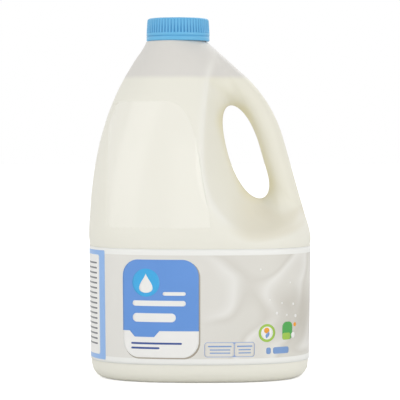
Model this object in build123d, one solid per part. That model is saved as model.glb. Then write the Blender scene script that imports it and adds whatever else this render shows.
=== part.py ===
from build123d import *
import math
import os

import numpy as np

# A two-litre milk jug with a hollow side handle, standing on its base ring.
# Millimetres. +Z is up, +X points to the handle, the parting plane is Y = 0,
# and the origin is the middle of the footprint.

# Body
BODY_WIDTH = 152.0
BODY_DEPTH = 105.0
PLAN_POWER = 2.5            # the plan is a superellipse of this power, squarer than an ellipse
WALL = 0.8
BASE_ROUNDING = 10.0
SIDE_DRAW = 0.8             # how far the sides draw in below the shoulder, to shelter the label
FOOT_DRAW = 1.0             # how much further they have drawn in at the foot
LABEL_TO_SHOULDER = 5.5     # from the label's top edge up to the widest place

# Push-up in the base, which leaves a ring to stand on
PUSH_UP_HEIGHT = 2.5
PUSH_UP_SLOPE = 4.0         # how far the push-up's edge runs in over that height
STANDING_RING = 9.0         # width of the flat ring, measured in from the rounded edge

# Neck and shoulder
NECK_BASE_HEIGHT = 228.2
NECK_OFFSET = 15.0          # the neck's axis stands this far from the middle, away from the handle
MOUTH_RADIUS = 19.8         # the shoulder ends at a round flat of this radius
FINISH_RADIUS = 18.6        # the plain cylinder that the cap screws over
FINISH_WALL = 1.4
FLANK_LOW_PULL = 61.0       # the flank's curve leaves the side upright with this pull
FLANK_HIGH_PULL = 39.0      # and reaches the neck with this one
FLANK_ANGLE = 41.0          # at this many degrees from upright
FRONT_LOW_PULL = 55.0
FRONT_HIGH_PULL = 36.0
FRONT_ANGLE = 45.0

# Handle: its outer line runs straight from the neck, bends, and runs straight to the shelf's corner
HANDLE_WIDTH = 17.5
HANDLE_DEPTH = 27.4
HANDLE_POWER = 2.2
KNEE_INSET = 26.5           # the two straight runs would meet this far in from the side
KNEE_DROP = 39.0            # and this far below the neck's base
BEND_RADIUS = 92.0
CORNER_RISE = 2.0           # from the widest place up to the shelf's corner

# Hand hole: the body is cut back to a grip edge, a quarter ellipse that flattens into the shelf
GRIP_INSET = 61.2           # the edge's upright end, in from the side
GRIP_CURVE_WIDTH = 33.8
GRIP_CURVE_HEIGHT = 69.3
SHELF_RISE = 22.4           # the shelf at the parting plane, above the widest place
SIDE_LEAN = 0.26            # the cut-back wall leans by this much for each mm of depth, beside the hole
SHELF_LEAN = 0.42           # and by this much on the shelf
CREST_ROUNDING = 7.0
ROOT_BLEND = 20.0           # how far the blend reaches where the handle runs into the body

# Milk
HEADSPACE = 25.0            # from the milk's level up to the neck's base
MILK_GAP = 0.25             # between the milk and the wall

# Label sleeve
LABEL_FOOT = 12.7
LABEL_HEIGHT = 76.9
LABEL_THICKNESS = 0.2
LABEL_GAP = 0.4             # between the sleeve and the wall

# Cap
CAP_HEIGHT = 15.4
CAP_RADIUS = 21.5
CAP_TOP_THICKNESS = 1.4
CAP_CLEARANCE = 0.35        # round the neck's finish
CAP_SEAT_GAP = 0.5          # from the shoulder up to the cap's foot
CAP_EDGE_ROUNDING = 2.0
RIB_COUNT = 60
GROOVE_DEPTH = 0.55
GROOVE_WIDTH = 1.0
GROOVE_DRAFT = 0.5          # the grooves are this much shallower at the top
BAND_HEIGHT = 5.2           # the tear-off band below the ribs
BAND_SLIT_HEIGHT = 3.0      # the slit's lower edge, above the cap's foot
BAND_SLIT_WIDTH = 0.35
BAND_SLIT_DEPTH = 0.7

# How finely the skin is worked out: a grid of points, covered with square Bezier tiles
SPOKES = 160
RAYS = 80
TILE_CELLS = 8
TILE_DEGREE = 6
SKIN_DIP = 0.4              # the skin reaches this far below the floor, and is trimmed level
MOUTH_OVERRUN = 8.0         # and this far above the neck's base

SIDE = BODY_WIDTH / 2
LABEL_TOP = LABEL_FOOT + LABEL_HEIGHT
WIDEST = LABEL_TOP + LABEL_TO_SHOULDER
MILK_LEVEL = NECK_BASE_HEIGHT - HEADSPACE
CAP_FOOT = NECK_BASE_HEIGHT + CAP_SEAT_GAP
RIM_HEIGHT = CAP_FOOT + CAP_HEIGHT - CAP_TOP_THICKNESS


def smooth_max(first, second, reach):
    """The larger value, with the crease between the two rounded over a reach."""
    overlap = np.maximum(reach - np.abs(first - second), 0.0) / np.maximum(reach, 1e-9)
    return np.maximum(first, second) + overlap**2 * reach / 4


def smooth_min(first, second, reach):
    """The smaller value, with the crease filled over a reach."""
    return -smooth_max(-first, -second, reach)


def shoulder_curve(start, end, low_pull, high_pull, angle):
    """A cubic Bezier from (offset, height) start, upright there, to end, leaning in by the angle."""
    lean = math.radians(angle)
    controls = np.array(
        [
            start,
            (start[0], start[1] + low_pull),
            (end[0] + high_pull * math.sin(lean), end[1] - high_pull * math.cos(lean)),
            end,
        ]
    )
    t = np.linspace(0.0, 1.0, 200)[:, None]
    weights = np.hstack([(1 - t) ** 3, 3 * (1 - t) ** 2 * t, 3 * (1 - t) * t**2, t**3])
    return weights @ controls


def side_reach(widest_reach, draw_height):
    """How far the straight side stands out at each height below the widest place."""
    lower = widest_reach - SIDE_DRAW - FOOT_DRAW * (1 - draw_height / LABEL_TOP)
    t = np.clip((draw_height - LABEL_TOP) / LABEL_TO_SHOULDER, 0.0, 1.0)
    return lower + (widest_reach - lower) * t**2 * (3 - 2 * t)


FLANK = shoulder_curve(
    (SIDE, WIDEST),
    (NECK_OFFSET + MOUTH_RADIUS, NECK_BASE_HEIGHT),
    FLANK_LOW_PULL,
    FLANK_HIGH_PULL,
    FLANK_ANGLE,
)
FRONT = shoulder_curve(
    (BODY_DEPTH / 2, WIDEST),
    (MOUTH_RADIUS, NECK_BASE_HEIGHT),
    FRONT_LOW_PULL,
    FRONT_HIGH_PULL,
    FRONT_ANGLE,
)

# The handle's outer line: neck end, knee and shelf corner, with the knee rounded off
LINE_TOP = np.array([MOUTH_RADIUS - NECK_OFFSET, NECK_BASE_HEIGHT])
LINE_KNEE = np.array([SIDE - KNEE_INSET, NECK_BASE_HEIGHT - KNEE_DROP])
LINE_CORNER = np.array([SIDE, WIDEST + CORNER_RISE])
UPPER_RUN = (LINE_KNEE - LINE_TOP) / np.linalg.norm(LINE_KNEE - LINE_TOP)
LOWER_RUN = (LINE_CORNER - LINE_KNEE) / np.linalg.norm(LINE_CORNER - LINE_KNEE)
UPPER_NORMAL = np.array([-UPPER_RUN[1], UPPER_RUN[0]])
LOWER_NORMAL = np.array([-LOWER_RUN[1], LOWER_RUN[0]])
BEND_TANGENT = BEND_RADIUS * math.tan(math.acos(UPPER_RUN @ LOWER_RUN) / 2)
BEND_START = LINE_KNEE - UPPER_RUN * BEND_TANGENT
BEND_CENTER = BEND_START - UPPER_NORMAL * BEND_RADIUS


def outer_line_distance(x, z):
    """Distance from the handle's outer line in the parting plane, positive outside it."""
    from_center_x = x - BEND_CENTER[0]
    from_center_z = z - BEND_CENTER[1]
    on_upper_run = from_center_x * UPPER_RUN[0] + from_center_z * UPPER_RUN[1] < 0
    on_lower_run = from_center_x * LOWER_RUN[0] + from_center_z * LOWER_RUN[1] > 0
    upper = from_center_x * UPPER_NORMAL[0] + from_center_z * UPPER_NORMAL[1] - BEND_RADIUS
    lower = from_center_x * LOWER_NORMAL[0] + from_center_z * LOWER_NORMAL[1] - BEND_RADIUS
    bend = np.hypot(from_center_x, from_center_z) - BEND_RADIUS
    return np.where(on_upper_run, upper, np.where(on_lower_run, lower, bend))


def outer_line_reach(z):
    """X of the handle's outer line at each height, from its two runs and its bend."""
    lower = BEND_CENTER[0] + (BEND_RADIUS - (z - BEND_CENTER[1]) * LOWER_NORMAL[1]) / LOWER_NORMAL[0]
    upper = BEND_CENTER[0] + (BEND_RADIUS - (z - BEND_CENTER[1]) * UPPER_NORMAL[1]) / UPPER_NORMAL[0]
    rise = z - BEND_CENTER[1]
    bend = BEND_CENTER[0] + np.sqrt(np.maximum(BEND_RADIUS**2 - rise**2, 0.0))
    above = rise > BEND_RADIUS * UPPER_NORMAL[1]
    below = rise < BEND_RADIUS * LOWER_NORMAL[1]
    return np.where(above, upper, np.where(below, lower, bend))


def hull_distance(x, y, z):
    """Distance from the body as it would be with no hand hole, positive outside."""
    height = np.minimum(z, NECK_BASE_HEIGHT)
    above = np.maximum(z - NECK_BASE_HEIGHT, 0.0)
    flank = np.where(z < WIDEST, side_reach(SIDE, z), np.interp(height, FLANK[:, 1], FLANK[:, 0]))
    front = np.where(z < WIDEST, side_reach(BODY_DEPTH / 2, z), np.interp(height, FRONT[:, 1], FRONT[:, 0]))
    flank = flank - above * math.tan(math.radians(FLANK_ANGLE))
    front = np.maximum(front - above * math.tan(math.radians(FRONT_ANGLE)), 1.0)
    right = smooth_min(outer_line_reach(z), side_reach(SIDE, z), CORNER_RISE)
    half_width = np.maximum((right + flank) / 2, 1.0)
    t = np.clip((z - WIDEST) / (NECK_BASE_HEIGHT - WIDEST), 0.0, 1.0)
    power = PLAN_POWER + (2.0 - PLAN_POWER) * t**2 * (3 - 2 * t)
    u = np.maximum(np.abs(x - (right - flank) / 2) / half_width, 1e-6)
    v = np.maximum(np.abs(y) / front, 1e-6)
    ratio = (u**power + v**power) ** (1 / power)
    slope = ratio ** (1 - power) * np.hypot(u ** (power - 1) / half_width, v ** (power - 1) / front)
    side = (ratio - 1) / slope
    past_side = side + BASE_ROUNDING
    past_floor = BASE_ROUNDING - SKIN_DIP - z
    corner = np.hypot(np.maximum(past_side, 0.0), np.maximum(past_floor, 0.0))
    return np.minimum(np.maximum(past_side, past_floor), 0.0) + corner - BASE_ROUNDING


def grip_wall_distance(x, y, z):
    """Distance from the leaning wall that the body is cut back to, positive on the hole's side."""
    to_side = np.maximum(SIDE - GRIP_INSET + GRIP_CURVE_WIDTH - x, 0.0) / GRIP_CURVE_WIDTH
    to_shelf = np.maximum(WIDEST + SHELF_RISE + GRIP_CURVE_HEIGHT - z, 0.0) / GRIP_CURVE_HEIGHT
    ratio = np.maximum(np.hypot(to_side, to_shelf), 1e-6)
    slope = np.hypot(to_side / GRIP_CURVE_WIDTH, to_shelf / GRIP_CURVE_HEIGHT) / ratio
    edge = (1 - ratio) / np.maximum(slope, 1e-3)
    t = np.clip((z - WIDEST - SHELF_RISE) / GRIP_CURVE_HEIGHT, 0.0, 1.0)
    lean = SHELF_LEAN + (SIDE_LEAN - SHELF_LEAN) * t**2 * (3 - 2 * t)
    return (edge + lean * np.abs(y)) / np.sqrt(1 + lean**2)


def jug_distance(x, y, z):
    """Distance from the jug's skin below the neck, negative inside: the cut-back body and its handle."""
    body = smooth_max(hull_distance(x, y, z), grip_wall_distance(x, y, z), CREST_ROUNDING)
    across = outer_line_distance(x, z) + HANDLE_WIDTH / 2
    u = np.maximum(np.abs(across) / (HANDLE_WIDTH / 2), 1e-6)
    v = np.maximum(np.abs(y) / (HANDLE_DEPTH / 2), 1e-6)
    ratio = (u**HANDLE_POWER + v**HANDLE_POWER) ** (1 / HANDLE_POWER)
    slope = ratio ** (1 - HANDLE_POWER) * np.hypot(
        u ** (HANDLE_POWER - 1) / (HANDLE_WIDTH / 2), v ** (HANDLE_POWER - 1) / (HANDLE_DEPTH / 2)
    )
    handle = smooth_max((ratio - 1) / slope, LINE_CORNER[1] + 2 * CORNER_RISE - z, 2 * CORNER_RISE)
    inward = np.clip(0.5 - across / HANDLE_WIDTH, 0.0, 1.0)
    blend = ROOT_BLEND * inward**2 * (3 - 2 * inward)
    jug = smooth_min(body, handle, blend)
    return smooth_max(jug, z - NECK_BASE_HEIGHT - MOUTH_OVERRUN, MOUTH_OVERRUN / 2)


def skin_normals(x, y, z, step=0.02):
    """Unit normals of the skin at the points, pointing outward, from central differences."""
    slopes = np.stack(
        [
            jug_distance(x + step, y, z) - jug_distance(x - step, y, z),
            jug_distance(x, y + step, z) - jug_distance(x, y - step, z),
            jug_distance(x, y, z + step) - jug_distance(x, y, z - step),
        ],
        axis=-1,
    )
    return slopes / np.linalg.norm(slopes, axis=-1, keepdims=True)


def find_crossing(value, inner, outer, rounds=40):
    """Halve the range between inner, where value is negative, and outer until it closes on zero."""
    for _ in range(rounds):
        middle = (inner + outer) / 2
        inside = value(middle) < 0
        inner = np.where(inside, middle, inner)
        outer = np.where(inside, outer, middle)
    return (inner + outer) / 2


def hand_hole_axis():
    """Middle, half length and direction of the hand hole, measured in the parting plane."""
    x, z = np.meshgrid(np.arange(-SIDE, SIDE, 0.5), np.arange(WIDEST, NECK_BASE_HEIGHT, 0.5))
    open_here = jug_distance(x, np.zeros_like(x), z) > 0
    in_hole = open_here & (outer_line_distance(x, z) < -HANDLE_WIDTH / 2)
    in_hole &= grip_wall_distance(x, np.zeros_like(x), z) > 0
    points = np.stack([x[in_hole], z[in_hole]], axis=-1)
    middle = points.mean(axis=0)
    spread, directions = np.linalg.eigh(np.cov((points - middle).T))
    along = directions[:, 1] * np.sign(directions[1, 1])
    half_length = 2 * math.sqrt(spread[1]) - 2 * math.sqrt(spread[0])
    return middle, half_length, along


def skin_grid():
    """Points of the front half of the skin: one row for each spoke round the hand hole.

    Each spoke leaves the hole's long axis and crosses the jug from the hole to its outline. From
    the middle of that crossing, rays fan out from the hole, over the front, to the outline.
    """
    middle, half_length, along = hand_hole_axis()
    turn = np.linspace(0.0, 2 * math.pi, SPOKES + 1) - math.pi
    across = np.array([along[1], -along[0]])
    start = middle + half_length * np.cos(turn)[:, None] * along
    heading = np.cos(turn)[:, None] * along + np.sin(turn)[:, None] * across

    def in_plane(distance):
        point = start + distance[:, None] * heading
        return jug_distance(point[:, 0], np.zeros(len(point)), point[:, 1])

    steps = np.arange(0.0, 2 * NECK_BASE_HEIGHT, 0.5)
    inside = np.stack([in_plane(np.full(len(turn), step)) < 0 for step in steps], axis=1)
    first = steps[np.argmax(inside, axis=1)]
    last = steps[len(steps) - 1 - np.argmax(inside[:, ::-1], axis=1)]
    hole_edge = find_crossing(in_plane, first, first - 0.5)
    outline = find_crossing(in_plane, last, last + 0.5)
    core = (hole_edge + outline) / 2
    reach = (outline - hole_edge) / 2
    core_point = start + core[:, None] * heading

    def in_depth(depth):
        return jug_distance(core_point[:, 0], depth, core_point[:, 1])

    depth = find_crossing(in_depth, np.zeros(len(turn)), np.full(len(turn), BODY_DEPTH))
    fan = np.linspace(0.0, math.pi, RAYS + 1)
    along_spoke = -np.cos(fan) * reach[:, None]
    forward = -np.sin(fan) * depth[:, None]
    forward[:, [0, -1]] = 0.0

    def on_ray(scale):
        x = core_point[:, :1] + scale * along_spoke * heading[:, :1]
        z = core_point[:, 1:] + scale * along_spoke * heading[:, 1:]
        return jug_distance(x, scale * forward, z)

    scale = find_crossing(on_ray, np.full(forward.shape, 0.3), np.full(forward.shape, 2.0))
    x = core_point[:, :1] + scale * along_spoke * heading[:, :1]
    z = core_point[:, 1:] + scale * along_spoke * heading[:, 1:]
    return np.stack([x, scale * forward, z], axis=-1)


def bernstein(count):
    """Bernstein polynomials of a tile's degree at evenly spaced places, one column for each."""
    t = np.linspace(0.0, 1.0, count)[:, None]
    order = np.arange(TILE_DEGREE + 1)
    binomials = np.array([math.comb(TILE_DEGREE, k) for k in order])
    return binomials * t**order * (1 - t) ** (TILE_DEGREE - order)


def fit_edge(points):
    """Control points of the Bezier curve that best follows a row of points and keeps its ends."""
    basis = bernstein(len(points))
    rest = points - basis[:, [0, -1]] @ points[[0, -1]]
    inner = np.linalg.lstsq(basis[:, 1:-1], rest, rcond=None)[0]
    return np.vstack([points[:1], inner, points[-1:]])


def fit_tile(points):
    """Control points of the Bezier tile that best follows a patch of points.

    Its four edges are fitted first and by themselves, so that neighbouring tiles share them.
    """
    net = np.zeros((TILE_DEGREE + 1, TILE_DEGREE + 1, 3))
    net[0] = fit_edge(points[0])
    net[-1] = fit_edge(points[-1])
    net[:, 0] = fit_edge(points[:, 0])
    net[:, -1] = fit_edge(points[:, -1])
    down = bernstein(points.shape[0])
    across = bernstein(points.shape[1])
    rest = points - np.einsum("ik,klc,jl->ijc", down, net, across)
    solve_down = np.linalg.pinv(down[:, 1:-1])
    solve_across = np.linalg.pinv(across[:, 1:-1])
    net[1:-1, 1:-1] = np.einsum("ki,ijc,lj->klc", solve_down, rest, solve_across)
    return net


def skin_solid(points, inset):
    """A closed solid of the whole skin, moved inward by the inset, from its front half's points."""
    moved = points - inset * skin_normals(points[..., 0], points[..., 1], points[..., 2])
    moved[:, [0, -1], 1] = 0.0
    moved[-1] = moved[0]
    tiles = []
    for row in range(0, SPOKES, TILE_CELLS):
        for column in range(0, RAYS, TILE_CELLS):
            net = fit_tile(moved[row : row + TILE_CELLS + 1, column : column + TILE_CELLS + 1])
            controls = [[Vector(*point) for point in line] for line in net.tolist()]
            tiles.append(Face.make_bezier_surface(controls))
    mirrored = [tile.mirror(Plane.XZ) for tile in tiles]
    return Solid(Shell(tiles + mirrored))


def level_cut(solid, bottom, top):
    """The part of a solid between two heights."""
    slab = Pos(0, 0, (bottom + top) / 2) * Box(3 * BODY_WIDTH, 3 * BODY_DEPTH, top - bottom)
    return solid & slab


def push_up(inset):
    """The hollow under the base, grown by the inset to make the floor inside that follows it."""
    half_width = SIDE - SIDE_DRAW - FOOT_DRAW - BASE_ROUNDING - STANDING_RING + inset
    half_depth = BODY_DEPTH / 2 - SIDE_DRAW - FOOT_DRAW - BASE_ROUNDING - STANDING_RING + inset
    foot = Ellipse(half_width + PUSH_UP_SLOPE, half_depth + PUSH_UP_SLOPE)
    top = Ellipse(half_width - PUSH_UP_SLOPE, half_depth - PUSH_UP_SLOPE)
    return loft([Pos(0, 0, -PUSH_UP_HEIGHT) * foot, Pos(0, 0, PUSH_UP_HEIGHT + inset) * top], ruled=True)


def upright_cylinder(radius, bottom, top):
    """A cylinder round the Z axis between two heights."""
    return Pos(0, 0, bottom) * Cylinder(radius, top - bottom, align=(Align.CENTER, Align.CENTER, Align.MIN))


def neck_cylinder(radius, bottom, top):
    """An upright cylinder round the neck's axis between two heights."""
    return Pos(-NECK_OFFSET, 0, 0) * upright_cylinder(radius, bottom, top)


def make_bottle(points):
    """The blow-moulded bottle: skin and neck outside, an even wall, and one cavity with the handle."""
    outside = level_cut(skin_solid(points, 0.0), 0.0, NECK_BASE_HEIGHT)
    outside += neck_cylinder(FINISH_RADIUS, NECK_BASE_HEIGHT - WALL, RIM_HEIGHT)
    outside -= push_up(0.0)
    cavity = level_cut(skin_solid(points, WALL), WALL, NECK_BASE_HEIGHT - WALL)
    cavity -= push_up(WALL)
    cavity += neck_cylinder(FINISH_RADIUS - FINISH_WALL, NECK_BASE_HEIGHT - 2 * WALL, RIM_HEIGHT + WALL)
    return outside - cavity


def make_milk(points):
    """The milk, level in the body and in the hollow handle."""
    inset = WALL + MILK_GAP
    return level_cut(skin_solid(points, inset), inset, MILK_LEVEL) - push_up(inset)


def side_section(height, outset):
    """The outline of the straight side at a height, moved outward."""
    half_width = float(side_reach(SIDE, height)) + outset
    half_depth = float(side_reach(BODY_DEPTH / 2, height)) + outset
    turn = np.linspace(0.0, 2 * math.pi, SPOKES, endpoint=False)
    bend = 2 / PLAN_POWER
    x = half_width * np.sign(np.cos(turn)) * np.abs(np.cos(turn)) ** bend
    y = half_depth * np.sign(np.sin(turn)) * np.abs(np.sin(turn)) ** bend
    outline = Spline(*[(px, py) for px, py in zip(x.tolist(), y.tolist())], periodic=True)
    return Plane.XY.offset(height) * make_face(outline)


def make_label():
    """The printed sleeve, a thin band round the straight side."""
    edges = (LABEL_FOOT, LABEL_TOP)
    outer = loft([side_section(height, LABEL_GAP + LABEL_THICKNESS) for height in edges], ruled=True)
    return outer - loft([side_section(height, LABEL_GAP) for height in edges], ruled=True)


def make_cap():
    """The screw cap: grooved skirt, top, tear-off band with its slit, and bore."""
    cap = upright_cylinder(CAP_RADIUS, 0, CAP_HEIGHT)
    cap = fillet(cap.edges().group_by(Axis.Z)[-1], CAP_EDGE_ROUNDING)
    groove_height = CAP_HEIGHT - BAND_HEIGHT
    groove = Pos(CAP_RADIUS, 0, BAND_HEIGHT + groove_height / 2) * Rot(0, -groove_tilt(groove_height), 0)
    cap -= PolarLocations(0, RIB_COUNT) * (groove * Box(2 * GROOVE_DEPTH, GROOVE_WIDTH, groove_height))
    slit_top = BAND_SLIT_HEIGHT + BAND_SLIT_WIDTH
    slit = upright_cylinder(CAP_RADIUS + 1, BAND_SLIT_HEIGHT, slit_top)
    cap -= slit - upright_cylinder(CAP_RADIUS - BAND_SLIT_DEPTH, BAND_SLIT_HEIGHT, slit_top)
    cap -= upright_cylinder(FINISH_RADIUS + CAP_CLEARANCE, 0, CAP_HEIGHT - CAP_TOP_THICKNESS)
    return Pos(-NECK_OFFSET, 0, CAP_FOOT) * cap


def groove_tilt(groove_height):
    """Degrees that a groove leans out, so that it runs shallower towards the top."""
    return math.degrees(math.atan(GROOVE_DRAFT / groove_height))


def main():
    """Build each piece and write it to its own file."""
    os.makedirs("parts", exist_ok=True)
    points = skin_grid()
    pieces = {
        "bottle": make_bottle(points),
        "milk": make_milk(points),
        "label": make_label(),
        "cap": make_cap(),
    }
    for name, piece in pieces.items():
        export_step(piece, f"parts/{name}.step")
        print(f"{name}: {len(piece.solids())} solid, {piece.volume / 1000:.1f} cm3")


if __name__ == "__main__":
    main()
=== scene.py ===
"""The looks of a two-litre milk jug: milky bottle with a hollow handle, milk, printed sleeve and cap."""
import logging
import math
from dataclasses import dataclass, field
from enum import Enum
from typing import Callable, Sequence, Union

import bmesh
import bpy
import numpy as np
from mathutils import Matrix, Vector


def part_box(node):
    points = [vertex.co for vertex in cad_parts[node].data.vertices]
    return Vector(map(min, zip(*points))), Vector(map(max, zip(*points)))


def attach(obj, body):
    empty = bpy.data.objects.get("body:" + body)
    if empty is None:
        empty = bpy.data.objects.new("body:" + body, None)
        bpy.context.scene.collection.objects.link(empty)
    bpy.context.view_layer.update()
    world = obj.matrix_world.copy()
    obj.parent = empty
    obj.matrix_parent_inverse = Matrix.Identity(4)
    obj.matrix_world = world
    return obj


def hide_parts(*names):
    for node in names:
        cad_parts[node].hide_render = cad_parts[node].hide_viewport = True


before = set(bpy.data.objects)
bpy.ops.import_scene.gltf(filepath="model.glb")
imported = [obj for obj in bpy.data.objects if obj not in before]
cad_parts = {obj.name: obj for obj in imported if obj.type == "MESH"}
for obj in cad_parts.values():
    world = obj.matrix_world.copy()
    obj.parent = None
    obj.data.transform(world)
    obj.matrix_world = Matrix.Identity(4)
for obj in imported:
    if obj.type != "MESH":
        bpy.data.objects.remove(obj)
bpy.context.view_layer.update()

logging.basicConfig(level=logging.INFO, format="%(message)s")
LOG = logging.getLogger("milk_jug")
MM = 0.001


class Slot(Enum):
    """The record's material slots."""

    BOTTLE = "bottle"
    MILK = "milk"
    LABEL = "label"
    CAP = "cap"


# ------------------------------------------------------------------ numbers on grids


def smooth_max(first: np.ndarray, second: np.ndarray, reach: Union[float, np.ndarray]) -> np.ndarray:
    """The larger of two distances with their crease rounded over a reach.

    Formula: max(a, b) + h*h*reach/4, where h = (reach - |a - b|) / reach, and never under 0.

    Args:
        first: one distance.
        second: the other distance.
        reach: how far apart the two may be and still blend.

    Returns:
        The blended distance.
    """
    overlap = np.maximum(reach - np.abs(first - second), 0.0) / np.maximum(reach, 1e-9)
    return np.maximum(first, second) + overlap**2 * reach / 4


def smooth_min(first: np.ndarray, second: np.ndarray, reach: Union[float, np.ndarray]) -> np.ndarray:
    """The smaller of two distances with their crease filled over a reach; see smooth_max."""
    return -smooth_max(-first, -second, reach)


def ease(value: np.ndarray, low: float, high: float) -> np.ndarray:
    """0 below low, 1 above high, and 3t^2 - 2t^3 between, where t runs from 0 to 1."""
    t = np.clip((value - low) / (high - low), 0.0, 1.0)
    return t * t * (3 - 2 * t)


def from_oval(
    x: np.ndarray,
    y: np.ndarray,
    half_x: Union[float, np.ndarray],
    half_y: Union[float, np.ndarray],
    power: Union[float, np.ndarray],
) -> np.ndarray:
    """Distance from a superellipse, near enough close to it.

    Formula: (r - 1) / |slope of r|, where r = (|u|^p + |v|^p)^(1/p), u = x / half_x, v = y / half_y.

    Args:
        x: places across it, from its middle.
        y: places along its other axis.
        half_x: half its size in x.
        half_y: half its size in y.
        power: the p of the formula; 2 is an ellipse.

    Returns:
        The distances, negative inside.
    """
    u = np.maximum(np.abs(x) / half_x, 1e-6)
    v = np.maximum(np.abs(y) / half_y, 1e-6)
    ratio = (u**power + v**power) ** (1 / power)
    slope = ratio ** (1 - power) * np.hypot(u ** (power - 1) / half_x, v ** (power - 1) / half_y)
    return (ratio - 1) / slope


def find_crossing(
    value: Callable[[np.ndarray], np.ndarray], inner: np.ndarray, outer: np.ndarray, rounds: int = 26
) -> np.ndarray:
    """Halve the range between inner, where value is negative, and outer, until it closes on zero.

    Args:
        value: the function whose zero is wanted.
        inner: places where it is negative.
        outer: places where it is positive.
        rounds: how many times the range is halved.

    Returns:
        The places of the zeros.
    """
    for _ in range(rounds):
        middle = (inner + outer) / 2
        inside = value(middle) < 0
        inner = np.where(inside, middle, inner)
        outer = np.where(inside, outer, middle)
    return (inner + outer) / 2


# ------------------------------------------------------------------ meshes


def grid_faces(rows: int, columns: int, close_rows: bool = False, close_columns: bool = False) -> np.ndarray:
    """Quads of a grid of points numbered row by row, optionally joined end to end.

    Args:
        rows: number of rows of points.
        columns: number of points in a row.
        close_rows: joins the last row to the first.
        close_columns: joins the last column to the first.

    Returns:
        An array of four point numbers for each quad.
    """
    number = np.arange(rows * columns).reshape(rows, columns)
    if close_rows:
        number = np.vstack([number, number[:1]])
    if close_columns:
        number = np.hstack([number, number[:, :1]])
    corners = (number[:-1, :-1], number[:-1, 1:], number[1:, 1:], number[1:, :-1])
    return np.stack(corners, axis=-1).reshape(-1, 4)


def add_object(name: str, data: bpy.types.ID) -> bpy.types.Object:
    """A new object with the data, linked to the scene."""
    made = bpy.data.objects.new(name, data)
    bpy.context.scene.collection.objects.link(made)
    return made


def make_piece(
    name: str,
    points: np.ndarray,
    faces: Sequence,
    finish: bpy.types.Material,
    replaces: Sequence[str] = (),
    values: Union[dict, None] = None,
) -> bpy.types.Object:
    """Put points in millimetres and faces into a mesh piece that rides on the body.

    Args:
        name: the piece's name.
        points: positions in millimetres, in the CAD frame.
        faces: point numbers of each face.
        finish: its material.
        replaces: CAD nodes that it stands for.
        values: numbers for each point that the material reads, by name.

    Returns:
        The new object.
    """
    mesh = bpy.data.meshes.new(name)
    mesh.from_pydata((points.reshape(-1, 3) * MM).tolist(), [], np.asarray(faces).tolist())
    mesh.update()
    mesh.polygons.foreach_set("use_smooth", np.ones(len(mesh.polygons), dtype=bool))
    for key, numbers in (values or {}).items():
        layer = mesh.attributes.new(key, "FLOAT", "POINT")
        layer.data.foreach_set("value", np.asarray(numbers, dtype=np.float32).ravel())
    mesh.materials.append(finish)
    piece = add_object(name, mesh)
    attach(piece, "root")
    if replaces:
        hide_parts(*replaces)
    LOG.info("%s: %d points, %d faces", name, len(mesh.vertices), len(mesh.polygons))
    return piece


# ------------------------------------------------------------------ shader expressions


Number = Union[float, "Wire"]


def operator(operation: str, reflected: bool = False) -> Callable[["Wire", Number], "Wire"]:
    """An operator of Wire: one Math node on the two values, which a reflected form swaps back."""

    def apply(wire: "Wire", other: Number) -> "Wire":
        """The operation on the values in the order they were written."""
        values = (other, wire) if reflected else (wire, other)
        return wire.compute(operation, *values)

    return apply


class Wire:
    """An output socket that takes part in Python expressions by adding Math nodes."""

    __add__, __radd__ = operator("ADD"), operator("ADD", reflected=True)
    __sub__, __rsub__ = operator("SUBTRACT"), operator("SUBTRACT", reflected=True)
    __mul__, __rmul__ = operator("MULTIPLY"), operator("MULTIPLY", reflected=True)
    __truediv__, __rtruediv__ = operator("DIVIDE"), operator("DIVIDE", reflected=True)

    def __init__(self, shop: "Shop", socket: bpy.types.NodeSocket) -> None:
        """Hold the socket and the shop that makes nodes for it."""
        self.shop = shop
        self.socket = socket

    def compute(self, operation: str, *values: Number) -> "Wire":
        """One Math node of the operation on the values."""
        return self.shop.node("ShaderNodeMath", {"operation": operation}, dict(enumerate(values)))

    def absolute(self) -> "Wire":
        """The value without its sign."""
        return self.compute("ABSOLUTE", self)

    def clamp(self) -> "Wire":
        """The value held between 0 and 1."""
        return self.shop.node("ShaderNodeClamp", {}, {0: self})

    def step(self, low: float, high: float) -> "Wire":
        """0 below low and 1 above high, eased between."""
        settings = {"interpolation_type": "SMOOTHSTEP"}
        return self.shop.node("ShaderNodeMapRange", settings, {0: self, 1: low, 2: high, 3: 0.0, 4: 1.0})


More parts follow.
